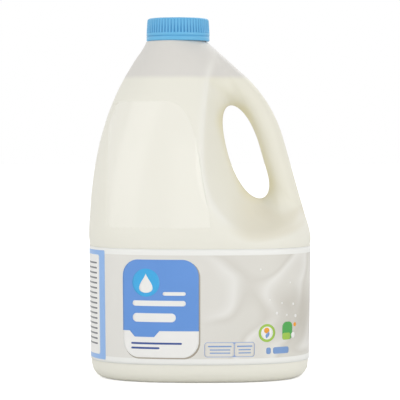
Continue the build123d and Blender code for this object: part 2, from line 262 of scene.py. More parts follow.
class Shop:
    """Makes the nodes of one material or world."""

    def __init__(self, name: str) -> None:
        """Start a material with only its output and a Principled shader."""
        self.material = bpy.data.materials.new(name)
        self.material.use_nodes = True
        self.tree = self.material.node_tree
        self.shader = next(n for n in self.tree.nodes if n.type == "BSDF_PRINCIPLED")

    @classmethod
    def on(cls, world: bpy.types.World) -> "Shop":
        """A shop that makes nodes for a world."""
        shop = cls.__new__(cls)
        shop.tree = world.node_tree
        return shop

    def node(self, kind: str, settings: dict, inputs: dict, output: Union[int, str] = 0) -> Wire:
        """Add one node.

        Args:
            kind: the node's type name.
            settings: its properties, set before its sockets.
            inputs: values or wires by socket name or number.
            output: the socket that the wire leaves from.

        Returns:
            The wire.
        """
        made = self.tree.nodes.new(kind)
        for key, value in settings.items():
            setattr(made, key, value)
        for key, value in inputs.items():
            self.feed(made.inputs[key], value)
        return Wire(self, made.outputs[output])

    def feed(self, socket: bpy.types.NodeSocket, value: Union[float, Sequence, Wire]) -> None:
        """Link a wire to the socket, or set the socket's own value."""
        if isinstance(value, Wire):
            self.tree.links.new(value.socket, socket)
        elif isinstance(value, (tuple, list)) and len(value) == 3 and socket.type == "RGBA":
            socket.default_value = (*value, 1.0)
        else:
            socket.default_value = value

    def mix(self, amount: Number, first: Union[Wire, Sequence], second: Union[Wire, Sequence]) -> Wire:
        """First colour at amount 0, second at amount 1."""
        settings = {"data_type": "RGBA"}
        return self.node("ShaderNodeMix", settings, {0: amount, 6: first, 7: second}, output=2)

    def place(self) -> tuple:
        """X, Y and Z of the point on the piece, in metres."""
        where = self.node("ShaderNodeTexCoord", {}, {}, output="Object")
        return tuple(self.node("ShaderNodeSeparateXYZ", {}, {0: where}, output=axis) for axis in range(3))

    def noise(self, scale: float, detail: float, distortion: float = 0.0, stretch: Sequence = ()) -> Wire:
        """Noise over the piece, from 0 to 1, at a scale in waves for each metre."""
        where = self.node("ShaderNodeTexCoord", {}, {}, output="Object")
        if stretch:
            where = self.node("ShaderNodeMapping", {}, {0: where, "Scale": stretch})
        inputs = {"Vector": where, "Scale": scale, "Detail": detail, "Distortion": distortion}
        return self.node("ShaderNodeTexNoise", {"noise_dimensions": "3D"}, inputs)

    def attribute(self, name: str) -> Wire:
        """A number that the mesh carries for each point."""
        return self.node("ShaderNodeAttribute", {"attribute_name": name}, {}, output="Fac")

    def bump(self, height: Wire, distance: float, strength: float = 1.0) -> Wire:
        """A Bump node's normal."""
        return self.node("ShaderNodeBump", {}, {"Height": height, "Distance": distance, "Strength": strength})

    def set(self, **sockets: Union[float, Sequence, Wire]) -> bpy.types.Material:
        """Feed the Principled shader's sockets, named with _ for each space, and return the material."""
        for key, value in sockets.items():
            self.feed(self.shader.inputs[key.replace("_", " ")], value)
        return self.material


def srgb(red: float, green: float, blue: float) -> tuple:
    """A colour given in 0 to 255 display values, as the linear values that shaders take."""
    levels = np.array([red, green, blue]) / 255.0
    return tuple(np.where(levels <= 0.04045, levels / 12.92, ((levels + 0.055) / 1.055) ** 2.4).tolist())


@dataclass(frozen=True)
class ArchPanel:
    """The shallow arched panel pressed into the shoulder's front and back."""

    left: float = -61.0
    top: float = 186.0
    bottom: float = 104.0
    fall_start: float = -26.0
    fall_width: float = 31.0
    fall_height: float = 76.0
    fall_power: float = 3.2
    depth: float = 0.9
    edge: float = 1.7
    face: tuple = (14.0, 22.0)
    line_reach: float = 1.1
    foot_fade: float = 8.0
    side_fade: float = 6.0

    def relief(self, points: np.ndarray) -> np.ndarray:
        """How far each point sinks: full depth inside the arch, eased over its edge.

        Formula: the arch lies under a level line that then falls as a power of the way across; the
        height under it, over the length of (1, slope), is about the distance to its edge.
        """
        x, y, z = np.moveaxis(points, -1, 0)
        fall = np.maximum(x - self.fall_start, 0.0) / self.fall_width
        ceiling = self.top - self.fall_height * fall**self.fall_power
        slope = self.fall_height / self.fall_width * self.fall_power * fall ** (self.fall_power - 1)
        inside = (ceiling - z) / np.hypot(1.0, slope)
        inside = np.minimum(inside, np.minimum(x - self.left, z - self.bottom))
        on_face = ease(np.abs(y), *self.face)
        groove = np.exp(-((inside / self.edge) ** 2))
        return self.depth * (0.55 * ease(inside, -self.edge, self.edge) + 0.6 * groove) * on_face

    def line(self, shop: Shop) -> Wire:
        """1 along the arch's edge and 0 a little away from it, by the same formula in metres."""
        x, _, z = shop.place()
        share = (x - self.fall_start * MM) * (1.0 / (self.fall_width * MM))
        share = share.compute("MAXIMUM", share, 0.0)
        fallen = share.compute("POWER", share, self.fall_power)
        steep = share.compute("POWER", share, self.fall_power - 1.0)
        steep = steep * (self.fall_height / self.fall_width * self.fall_power)
        length = steep.compute("SQRT", steep * steep + 1.0)
        inside = (self.top * MM - fallen * (self.fall_height * MM) - z) / length
        near = 1.0 - inside.absolute().step(0.0, self.line_reach * MM)
        past_foot = z.step(self.bottom * MM, (self.bottom + self.foot_fade) * MM)
        return near * past_foot * x.step(self.left * MM, (self.left + self.side_fade) * MM)


@dataclass(frozen=True)
class MilkyPlastic:
    """Natural polyethylene with milk behind it, greyer above the milk; warmer round the hand hole for thinner
    plastic and painted shade, with painted shade on the recess floor and along the arch's edge, and a painted
    highlight on the crest's lip.
    """

    milk_level: float
    panel: ArchPanel
    filled: tuple = srgb(238, 236, 224)
    empty: tuple = srgb(222, 219, 213)
    thin_and_shade: tuple = srgb(230, 223, 188)
    shelf_shade: tuple = srgb(228, 222, 202)
    seam: tuple = srgb(205, 196, 170)
    arch_crease_shade: tuple = srgb(222, 219, 202)
    lip: tuple = srgb(246, 245, 238)
    pale: tuple = srgb(250, 249, 244)

    def material(self) -> bpy.types.Material:
        """Build the material."""
        shop = Shop("milky_plastic")
        _, y, z = shop.place()
        mottle = shop.noise(38.0, 2.0)
        # Warmer and darker round the hand hole: partly thinner plastic, partly painted shade where the
        # surface turns into the hole.
        warm = shop.mix(shop.attribute("thin_and_shade"), self.filled, self.thin_and_shade)
        # Painted shade: darker tan on the recess floor below the hand hole.
        warm = shop.mix(shop.attribute("shelf_shade"), warm, self.shelf_shade)
        level = self.milk_level * MM
        above = (z + (mottle - 0.5) * 0.002).step(level - 0.0016, level + 0.0026)
        colour = shop.mix(above, warm, self.empty)
        on_seam = (1.0 - y.absolute().step(0.00015, 0.0006)) * shop.attribute("seam")
        colour = shop.mix(on_seam * 0.6, colour, self.seam)
        colour = shop.mix((mottle - 0.5) * 0.10 + 0.05, colour, self.pale)
        line = self.panel.line(shop)
        # Painted shade along the arch panel's edge, where its groove lies.
        colour = shop.mix(line * 0.45, colour, self.arch_crease_shade)
        # Painted highlight: lighter colour along the lip at the grip recess's crest.
        colour = shop.mix(shop.attribute("lip") * 0.50, colour, self.lip)
        ripple = shop.noise(140.0, 3.0) * 0.35 + shop.noise(30.0, 2.0) * 0.6 - line * 2.4
        return shop.set(
            Base_Color=colour,
            Roughness=shop.noise(60.0, 2.0) * 0.08 + 0.46,
            Specular_IOR_Level=0.42,
            Normal=shop.bump(ripple, 0.00018, 0.6),
        )


@dataclass(frozen=True)
class Milk:
    """Milk, opaque and creamy."""

    colour: tuple = srgb(240, 238, 226)
    cream: tuple = srgb(244, 242, 232)

    def material(self) -> bpy.types.Material:
        """Build the material."""
        shop = Shop("milk")
        colour = shop.mix(shop.noise(20.0, 2.0), self.colour, self.cream)
        return shop.set(Base_Color=colour, Roughness=0.18)


@dataclass(frozen=True)
class CapPlastic:
    """Light blue moulded plastic with a fine satin grain, and painted shade in the grooves between its ribs.
    """

    colour: tuple = srgb(104, 186, 231)
    groove_shade: tuple = srgb(56, 143, 202)
    pale: tuple = srgb(120, 195, 238)

    def material(self) -> bpy.types.Material:
        """Build the material."""
        shop = Shop("cap_plastic")
        # Painted shade: darker blue where the grooves between the ribs sink.
        colour = shop.mix(shop.attribute("groove"), self.colour, self.groove_shade)
        colour = shop.mix(shop.noise(90.0, 2.0) * 0.12, colour, self.pale)
        return shop.set(
            Base_Color=colour,
            Roughness=shop.noise(200.0, 3.0) * 0.12 + 0.30,
            Specular_IOR_Level=0.5,
            Normal=shop.bump(shop.noise(900.0, 3.0), 0.00004, 0.5),
        )


@dataclass(frozen=True)
class PrintedFilm:
    """The sleeve's film: white bands at its edges and a soft picture of poured milk between them."""

    bottom: float
    top: float
    band: float
    white: tuple = srgb(243, 243, 239)
    light: tuple = srgb(231, 229, 223)
    mid: tuple = srgb(219, 216, 207)
    dark: tuple = srgb(190, 184, 172)
    glint: tuple = srgb(243, 242, 238)
    picture_scale: float = 11.0
    ridge_at: float = 0.53
    crease_at: float = 0.465
    edge_blur: float = 0.2

    def material(self) -> bpy.types.Material:
        """Build the material."""
        shop = Shop("printed_film")
        x, y, z = shop.place()
        ahead = (y * -1.0).step(-0.001, 0.001) * 2.0 - 1.0
        beside = x * ahead
        busy = beside.step(-0.004, 0.020)
        folds = shop.noise(self.picture_scale, 0.6, 1.5, stretch=(1.0, 1.0, 1.5))
        ground = shop.mix((beside.step(-0.06, 0.07) * 0.75).clamp(), self.light, self.mid)
        swell = folds.step(0.40, 0.62)
        ground = shop.mix(swell * busy * 0.40, ground, self.light)
        ridge = (1.0 - ((folds - self.ridge_at).absolute() * 16.0).clamp()) * busy
        ground = shop.mix(ridge * 0.55, ground, self.glint)
        crease = (1.0 - ((folds - self.crease_at).absolute() * 20.0).clamp()) * busy
        ground = shop.mix(crease * 0.20, ground, self.dark)
        shade = beside.step(0.036, 0.062) * (1.0 - (z - 0.045).absolute().step(0.004, 0.026))
        ground = shop.mix(shade * 0.55, ground, self.dark)
        low = (self.bottom + self.band) * MM
        high = (self.top - self.band) * MM
        blur = self.edge_blur * MM
        in_bands = (1.0 - z.step(low - blur, low + blur)) + z.step(high - blur, high + blur)
        colour = shop.mix(in_bands.clamp(), ground, self.white)
        return shop.set(
            Base_Color=colour,
            Roughness=0.30,
            Specular_IOR_Level=0.45,
            Normal=shop.bump(shop.noise(70.0, 2.0), 0.00012, 0.35),
        )


@dataclass(frozen=True)
class Ink:
    """One printed colour, with the film's gloss and a slight unevenness."""

    name: str
    colour: tuple

    def material(self) -> bpy.types.Material:
        """Build the material."""
        shop = Shop(f"ink_{self.name}")
        paler = tuple(min(1.0, channel * 1.12 + 0.01) for channel in self.colour)
        colour = shop.mix(shop.noise(55.0, 2.0) * 0.5, self.colour, paler)
        return shop.set(Base_Color=colour, Roughness=0.30, Specular_IOR_Level=0.45)


# ------------------------------------------------------------------ the jug's form


SEARCH_STEP = 0.5


@dataclass(frozen=True)
class JugForm:
    """The jug's skin as a distance function, in millimetres, with the sizes that its CAD model has."""

    width: float = 152.0
    depth: float = 105.0
    plan_power: float = 2.5
    base_rounding: float = 10.0
    side_draw: float = 0.8
    foot_draw: float = 1.0
    label_top: float = 89.6
    widest: float = 95.1
    neck_base: float = 228.2
    neck_offset: float = 15.0
    mouth_radius: float = 19.8
    flank_pulls: tuple = (61.0, 39.0, 41.0)
    front_pulls: tuple = (55.0, 36.0, 45.0)
    handle_width: float = 17.5
    handle_depth: float = 27.4
    handle_power: float = 2.2
    knee_inset: float = 26.5
    knee_drop: float = 39.0
    bend_radius: float = 92.0
    corner_rise: float = 2.0
    grip_inset: float = 61.2
    grip_curve_width: float = 33.8
    grip_curve_height: float = 69.3
    shelf_rise: float = 22.4
    side_lean: float = 0.26
    shelf_lean: float = 0.42
    crest_rounding: float = 7.0
    root_blend: float = 20.0
    overrun: float = 8.0
    dip: float = 0.4

    @property
    def side(self) -> float:
        """Half the width."""
        return self.width / 2

    def _shoulder(self, start: float, end: float, pulls: tuple) -> np.ndarray:
        """A cubic Bezier of (offset, height), upright at the widest place and leaning in at the neck."""
        low, high, angle = pulls
        lean = math.radians(angle)
        controls = np.array(
            [
                (start, self.widest),
                (start, self.widest + low),
                (end + high * math.sin(lean), self.neck_base - high * math.cos(lean)),
                (end, self.neck_base),
            ]
        )
        t = np.linspace(0.0, 1.0, 200)[:, None]
        return np.hstack([(1 - t) ** 3, 3 * (1 - t) ** 2 * t, 3 * (1 - t) * t**2, t**3]) @ controls

    def _reach(self, start: float, end: float, pulls: tuple, z: np.ndarray) -> np.ndarray:
        """How far the wall stands out at a height: side, shoulder, then straight on past the neck's base."""
        curve = self._shoulder(start, end, pulls)
        reach = np.interp(np.minimum(z, self.neck_base), curve[:, 1], curve[:, 0])
        reach = np.where(z < self.widest, self.side_reach(start, z), reach)
        return reach - np.maximum(z - self.neck_base, 0.0) * math.tan(math.radians(pulls[2]))

    def side_reach(self, widest_reach: float, z: np.ndarray) -> np.ndarray:
        """How far the straight side stands out: drawn in a little from the widest place to the foot."""
        lower = widest_reach - self.side_draw - self.foot_draw * (1 - z / self.label_top)
        return lower + (widest_reach - lower) * ease(z, self.label_top, self.widest)

    def _outer_line(self) -> tuple:
        """The two runs of the handle's outer line, their normals, and the bend's centre."""
        top = np.array([self.mouth_radius - self.neck_offset, self.neck_base])
        knee = np.array([self.side - self.knee_inset, self.neck_base - self.knee_drop])
        corner = np.array([self.side, self.widest + self.corner_rise])
        upper = (knee - top) / np.linalg.norm(knee - top)
        lower = (corner - knee) / np.linalg.norm(corner - knee)
        upper_normal = np.array([-upper[1], upper[0]])
        lower_normal = np.array([-lower[1], lower[0]])
        tangent = self.bend_radius * math.tan(math.acos(float(upper @ lower)) / 2)
        centre = knee - upper * tangent - upper_normal * self.bend_radius
        return upper, lower, upper_normal, lower_normal, centre

    def outer_distance(self, x: np.ndarray, z: np.ndarray) -> np.ndarray:
        """Distance from the handle's outer line, by its two straight runs and the arc between them."""
        upper, lower, upper_normal, lower_normal, centre = self._outer_line()
        dx, dz = x - centre[0], z - centre[1]
        on_upper = dx * upper[0] + dz * upper[1] < 0
        on_lower = dx * lower[0] + dz * lower[1] > 0
        from_upper = dx * upper_normal[0] + dz * upper_normal[1] - self.bend_radius
        from_lower = dx * lower_normal[0] + dz * lower_normal[1] - self.bend_radius
        from_bend = np.hypot(dx, dz) - self.bend_radius
        return np.where(on_upper, from_upper, np.where(on_lower, from_lower, from_bend))

    def outer_reach(self, z: np.ndarray) -> np.ndarray:
        """X of the handle's outer line at each height, by the same runs and arc."""
        _, _, upper_normal, lower_normal, centre = self._outer_line()
        rise = z - centre[1]
        lower = centre[0] + (self.bend_radius - rise * lower_normal[1]) / lower_normal[0]
        upper = centre[0] + (self.bend_radius - rise * upper_normal[1]) / upper_normal[0]
        bend = centre[0] + np.sqrt(np.maximum(self.bend_radius**2 - rise**2, 0.0))
        above = rise > self.bend_radius * upper_normal[1]
        below = rise < self.bend_radius * lower_normal[1]
        return np.where(above, upper, np.where(below, lower, bend))

    def hull(self, x: np.ndarray, y: np.ndarray, z: np.ndarray) -> np.ndarray:
        """Distance from the body with no hand hole.

        Formula: at each height a superellipse of the wall's reaches, whose power eases from the
        plan's to 2 at the neck, rounded into the floor.
        """
        flank = self._reach(self.side, self.neck_offset + self.mouth_radius, self.flank_pulls, z)
        front = np.maximum(self._reach(self.depth / 2, self.mouth_radius, self.front_pulls, z), 1.0)
        right = smooth_min(self.outer_reach(z), self.side_reach(self.side, z), self.corner_rise)
        half = np.maximum((right + flank) / 2, 1.0)
        power = self.plan_power + (2.0 - self.plan_power) * ease(z, self.widest, self.neck_base)
        past_side = from_oval(x - (right - flank) / 2, y, half, front, power) + self.base_rounding
        past_floor = self.base_rounding - self.dip - z
        corner = np.hypot(np.maximum(past_side, 0.0), np.maximum(past_floor, 0.0))
        return np.minimum(np.maximum(past_side, past_floor), 0.0) + corner - self.base_rounding

    def grip_wall(self, x: np.ndarray, y: np.ndarray, z: np.ndarray) -> np.ndarray:
        """Distance from the leaning wall beside the hand hole: a quarter ellipse plus lean times |y|."""
        to_side = np.maximum(self.side - self.grip_inset + self.grip_curve_width - x, 0.0)
        to_shelf = np.maximum(self.widest + self.shelf_rise + self.grip_curve_height - z, 0.0)
        to_side = to_side / self.grip_curve_width
        to_shelf = to_shelf / self.grip_curve_height
        ratio = np.maximum(np.hypot(to_side, to_shelf), 1e-6)
        slope = np.hypot(to_side / self.grip_curve_width, to_shelf / self.grip_curve_height) / ratio
        edge = (1 - ratio) / np.maximum(slope, 1e-3)
        low = self.widest + self.shelf_rise
        turn = ease(z, low, low + self.grip_curve_height)
        lean = self.shelf_lean + (self.side_lean - self.shelf_lean) * turn
        return (edge + lean * np.abs(y)) / np.sqrt(1 + lean**2)

    def distance(self, x: np.ndarray, y: np.ndarray, z: np.ndarray) -> np.ndarray:
        """Distance from the skin, negative inside: the cut-back body blended with its handle."""
        body = smooth_max(self.hull(x, y, z), self.grip_wall(x, y, z), self.crest_rounding)
        across = self.outer_distance(x, z) + self.handle_width / 2
        handle = from_oval(across, y, self.handle_width / 2, self.handle_depth / 2, self.handle_power)
        foot = self.widest + 3 * self.corner_rise
        handle = smooth_max(handle, foot - z, 2 * self.corner_rise)
        inward = np.clip(0.5 - across / self.handle_width, 0.0, 1.0)
        jug = smooth_min(body, handle, self.root_blend * inward**2 * (3 - 2 * inward))
        return smooth_max(jug, z - self.neck_base - self.overrun, self.overrun / 2)

    def normals(self, points: np.ndarray, step: float = 0.05) -> np.ndarray:
        """Unit outward normals by central differences of the distance."""
        ahead = [self.distance(*np.moveaxis(points + shift, -1, 0)) for shift in np.eye(3) * step]
        behind = [self.distance(*np.moveaxis(points - shift, -1, 0)) for shift in np.eye(3) * step]
        slopes = np.stack(ahead, axis=-1) - np.stack(behind, axis=-1)
        return slopes / np.linalg.norm(slopes, axis=-1, keepdims=True)

    def hole_axis(self) -> tuple:
        """Middle, half length and direction of the hand hole in the parting plane."""
        across = np.arange(-self.side, self.side, SEARCH_STEP)
        x, z = np.meshgrid(across, np.arange(self.widest, self.neck_base, SEARCH_STEP))
        flat = np.zeros_like(x)
        inside = (self.distance(x, flat, z) > 0) & (self.outer_distance(x, z) < -self.handle_width / 2)
        inside &= self.grip_wall(x, flat, z) > 0
        spots = np.stack([x[inside], z[inside]], axis=-1)
        middle = spots.mean(axis=0)
        spread, directions = np.linalg.eigh(np.cov((spots - middle).T))
        along = directions[:, 1] * np.sign(directions[1, 1])
        return middle, 2 * math.sqrt(spread[1]) - 2 * math.sqrt(spread[0]), along

    def skin(self, spokes: int, rays: int) -> np.ndarray:
        """Points of the whole skin: rows are spokes round the hand hole, columns go round each spoke.

        Formula: in the parting plane each spoke crosses the jug from the hole's edge to the outline;
        from the middle of that crossing, rays fan over the front, and the back mirrors them.

        Args:
            spokes: how many spokes there are.
            rays: how many steps the rays take from the hole over the front to the outline.

        Returns:
            An array of spokes by 2 * rays points; both ways round are closed.
        """
        middle, half_length, along = self.hole_axis()
        turn = np.linspace(0.0, 2 * math.pi, spokes, endpoint=False) - math.pi
        across = np.array([along[1], -along[0]])
        start = middle + half_length * np.cos(turn)[:, None] * along
        heading = np.cos(turn)[:, None] * along + np.sin(turn)[:, None] * across

        def in_plane(reach: np.ndarray) -> np.ndarray:
            """Distance from the skin at a reach along each spoke."""
            spot = start + reach[:, None] * heading
            return self.distance(spot[:, 0], np.zeros(len(spot)), spot[:, 1])

        steps = np.arange(0.0, 1.6 * self.neck_base, SEARCH_STEP)
        grid = start[:, None] + steps[None, :, None] * heading[:, None]
        inside = self.distance(grid[..., 0], np.zeros(grid.shape[:2]), grid[..., 1]) < 0
        first = steps[np.argmax(inside, axis=1)]
        last = steps[len(steps) - 1 - np.argmax(inside[:, ::-1], axis=1)]
        hole_edge = find_crossing(in_plane, first, first - SEARCH_STEP)
        outline = find_crossing(in_plane, last, last + SEARCH_STEP)
        core = start + ((hole_edge + outline) / 2)[:, None] * heading
        reach = (outline - hole_edge) / 2
        depth = find_crossing(
            lambda y: self.distance(core[:, 0], y, core[:, 1]), np.zeros(spokes), np.full(spokes, self.depth)
        )
        fan = np.linspace(0.0, math.pi, rays + 1)
        along_spoke = -np.cos(fan) * reach[:, None]
        forward = -np.sin(fan) * depth[:, None]
        forward[:, [0, -1]] = 0.0

        def spots(scale: np.ndarray) -> np.ndarray:
            """Points at a scale along every ray."""
            x = core[:, :1] + scale * along_spoke * heading[:, :1]
            z = core[:, 1:] + scale * along_spoke * heading[:, 1:]
            return np.stack([x, scale * forward, z], axis=-1)

        scale = find_crossing(
            lambda s: self.distance(*np.moveaxis(spots(s), -1, 0)),
            np.full(forward.shape, 0.3),
            np.full(forward.shape, 2.0),
        )
        front = spots(scale)
        back = front[:, -2:0:-1] * np.array([1.0, -1.0, 1.0])
        return np.concatenate([front, back], axis=1)


@dataclass
class Bottle:
    """The blow-moulded bottle: its skin with shallow relief, and the neck's plain finish."""

    form: JugForm
    milk_level: float
    spokes: int = 320
    rays: int = 152
    push_up: float = 2.5
    ring: float = 9.0
    push_slope: float = 4.0
    finish_radius: float = 18.6
    finish_wall: float = 1.4
    rim: float = 242.7
    rim_rounding: float = 0.5
    inset: float = 0.10
    lip_height: float = 0.34
    seam_height: float = 0.16
    seam_width: float = 0.35
    wave_height: float = 0.04
    shoulder_foot: tuple = (100.0, 112.0)
    shoulder_head: tuple = (-224.0, -206.0)
    thin_and_shade_reach: tuple = (6.5, 15.0)
    seam_reach: tuple = (10.0, 30.0)
    panel: ArchPanel = field(default_factory=ArchPanel)

    def _finish(self) -> bpy.types.Material:
        """The milky plastic for a piece of the bottle."""
        return MilkyPlastic(self.milk_level, self.panel).material()

    def _floor(self, points: np.ndarray) -> np.ndarray:
        """Lift what lies below the floor onto it, and the middle of the base into the push-up.

        Formula: the push-up is full inside an ellipse and falls in a straight slope to its edge.
        """
        inset = self.form.side_draw + self.form.foot_draw + self.form.base_rounding + self.ring
        half_width = self.form.side - inset
        half_depth = self.form.depth / 2 - inset
        u = np.hypot(points[..., 0] / half_width, points[..., 1] / half_depth)
        inward = (1 - u) * half_depth / (2 * self.push_slope) + 0.5
        lift = self.push_up * np.clip(inward, 0.0, 1.0)
        points[..., 2] = np.where(points[..., 2] < 3.0, np.maximum(points[..., 2], lift), points[..., 2])
        return points

    def skin(self) -> bpy.types.Object:
        """The skin up to the neck's base."""
        points = self.form.skin(self.spokes, self.rays)
        normals = self.form.normals(points)
        x, y, z = np.moveaxis(points, -1, 0)
        sink = self.panel.relief(points)
        rise = ease(z, self.form.widest - 1.0, self.form.widest + 1.0)
        rise = rise * ease(-z, -self.form.neck_base + 8, -200.0)
        seam_rise = self.seam_height * np.exp(-((y / self.seam_width) ** 2)) * ease(z, 14.0, 20.0)
        along_wave = np.sin(x * 0.21 + z * 0.13)
        cross_wave = np.sin(z * 0.17 - x * 0.06 + np.sign(y) * 1.1)
        waves = self.wave_height * along_wave * cross_wave * rise
        grip = self.form.grip_wall(x, y, z)
        hull = self.form.hull(x, y, z)
        by_crest = (hull - grip) / self.form.crest_rounding
        above_label = ease(z, *self.shoulder_foot) * ease(-z, *self.shoulder_head)
        # The crest's lip: its mask sets the lip's geometry, and the material also paints a highlight on it.
        lip = np.exp(-(((by_crest + 0.15) / 0.5) ** 2)) * above_label * ease(np.abs(y), 6.0, 14.0)
        inward = sink - seam_rise + self.lip_height * above_label + self.inset
        inward = np.maximum(inward - self.lip_height * lip + waves, 0.0)
        points = points - normals * inward[..., None]
        points[..., 2] = np.minimum(points[..., 2], self.form.neck_base + 0.4)
        points = self._floor(points)
        middle, half_length, along = self.form.hole_axis()
        offset = np.stack([x - middle[0], z - middle[1]], axis=-1)
        on_axis = np.clip(offset @ along, -half_length, half_length)
        from_hole = np.hypot(*np.moveaxis(offset - on_axis[..., None] * along, -1, 0))
        handle = 1 - ease(-self.form.outer_distance(x, z), self.form.handle_width, self.form.handle_width + 6)
        # Where the material paints its warm tint: thinner plastic and painted shade round the hand hole and
        # the handle's inner edge.
        thin_and_shade = 0.85 * (1 - ease(from_hole, *self.thin_and_shade_reach)) + 0.18 * handle * ease(z, 100, 120)
        # Where the material paints shade on the recess floor below the hole.
        shelf_shade = 0.7 * (1 - ease(np.abs(grip), 1.0, 5.0)) * (1 - ease(z, 112.0, 134.0)) * ease(x, 14.0, 34.0)
        seam = (1 - ease(from_hole, *self.seam_reach)) + 0.4
        faces = grid_faces(self.spokes, 2 * self.rays, close_rows=True, close_columns=True)[:, ::-1]
        values = {"thin_and_shade": np.clip(thin_and_shade, 0, 1), "shelf_shade": shelf_shade, "seam": np.clip(seam, 0, 1), "lip": lip}
        return make_piece("bottle_skin", points, faces, self._finish(), ["bottle"], values)

    def neck(self) -> bpy.types.Object:
        """The neck's finish: a wall turned round the neck's axis, with a rounded rim."""
        outer, inner = self.finish_radius, self.finish_radius - self.finish_wall
        foot, rim = self.form.neck_base - 0.6, self.rim
        edge, bevel = rim - self.rim_rounding, 0.8 * self.rim_rounding
        profile = [(inner, foot), (outer, foot), (outer, edge), (outer - bevel, rim), (inner + bevel, rim)]
        profile = np.array(profile + [(inner, edge)])
        points, faces = turned(profile, 96, self.form.neck_offset, closed=True)
        values = {key: np.zeros(len(points)) for key in ("thin_and_shade", "shelf_shade", "seam", "lip")}
        return make_piece("neck_finish", points, faces, self._finish(), ["bottle"], values)


def turned(profile: np.ndarray, steps: int, axis_offset: float, closed: bool = False) -> tuple:
    """A profile of (radius, height) carried round an upright axis at x = -axis_offset.

    Args:
        profile: the profile's points.
        steps: how many steps make the turn.
        axis_offset: how far the axis stands towards -X.
        closed: joins the profile's last point to its first.

    Returns:
        The points and the faces.
    """
    turn = np.linspace(0.0, 2 * math.pi, steps, endpoint=False)
    x = profile[None, :, 0] * np.cos(turn)[:, None] - axis_offset
    y = profile[None, :, 0] * np.sin(turn)[:, None]
    z = np.broadcast_to(profile[None, :, 1], x.shape)
    faces = grid_faces(steps, len(profile), close_rows=True, close_columns=closed)
    return np.stack([x, y, z], axis=-1).reshape(-1, 3), faces[:, ::-1]


@dataclass
class MilkFill:
    """The milk inside, a parallel surface just inside the skin, cut level."""

    form: JugForm
    level: float
    inset: float = 0.7
    floor: float = 3.6
    spokes: int = 160
    rays: int = 60

    def build(self) -> bpy.types.Object:
        """Move the skin inward along its normals and hold it between the floor and the level."""
        points = self.form.skin(self.spokes, self.rays)
        points = points - self.form.normals(points) * self.inset
        points[..., 2] = np.clip(points[..., 2], self.floor, self.level)
        faces = grid_faces(self.spokes, 2 * self.rays, close_rows=True, close_columns=True)[:, ::-1]
        return make_piece("milk_fill", points, faces, Milk().material(), ["milk"])


# ------------------------------------------------------------------ sleeve and print


@dataclass
class Sleeve:
    """The printed film sleeve round the straight side, and the places on it."""

    form: JugForm
    foot: float = 12.7
    top: float = 89.6
    inner: float = 0.12
    outer: float = 0.42
    band: float = 4.1

    def __post_init__(self) -> None:
        """Work out the arc length round the section, from the front's middle towards +X."""
        turn = np.linspace(-math.pi / 2, 1.5 * math.pi, 4001)
        bend = 2 / self.form.plan_power
        half_depth = self.form.depth / 2 / self.form.side
        self._x = np.sign(np.cos(turn)) * np.abs(np.cos(turn)) ** bend
        self._y = half_depth * np.sign(np.sin(turn)) * np.abs(np.sin(turn)) ** bend
        steps = np.hypot(np.diff(self._x), np.diff(self._y)) * (self.form.side - self.form.side_draw)
        self._arc = np.concatenate([[0.0], np.cumsum(steps)])
        self.girth = float(self._arc[-1])

    def arc_at(self, x: float) -> float:
        """Arc length of the front's point at an x, negative towards -X."""
        quarter = len(self._x) // 4
        reach = float(np.interp(abs(x) / self.form.side, self._x[: quarter + 1], self._arc[: quarter + 1]))
        return math.copysign(reach, x)

    def place(self, arc: np.ndarray, z: np.ndarray, outset: float) -> np.ndarray:
        """Points on the side at arc lengths and heights, moved outward by the outset.

        Formula: the section is a superellipse whose half sizes at a height are the side's reach
        there plus the outset.
        """
        arc = np.mod(arc, self.girth)
        half_width = self.form.side_reach(self.form.side, z) + outset
        half_depth = self.form.side_reach(self.form.depth / 2, z) + outset
        x = np.interp(arc, self._arc, self._x) * half_width
        y = np.interp(arc, self._arc, self._y) * half_depth * self.form.side / (self.form.depth / 2)
        return np.stack([x, y, z], axis=-1)

    def build(self) -> bpy.types.Object:
        """The sleeve as a closed band with softly rounded edges."""
        rise = np.linspace(self.foot, self.top, 40)
        z = np.concatenate([rise, rise[::-1]])
        edge = np.minimum(rise - self.foot, self.top - rise)
        thick = self.outer - 0.06 * np.exp(-edge / 0.3)
        outset = np.concatenate([thick, np.full(len(rise), self.inner)])
        arc = np.linspace(0.0, self.girth, 360, endpoint=False)
        grid_arc, grid_z = np.meshgrid(arc, z, indexing="ij")
        points = self.place(grid_arc, grid_z, outset[None, :])
        faces = grid_faces(len(arc), len(z), close_rows=True, close_columns=True)
        film = PrintedFilm(self.foot, self.top, self.band).material()
        return make_piece("label_sleeve", points, faces[:, ::-1], film, ["label"])


INK_STEP = 0.035
INK_ROOT = 0.05


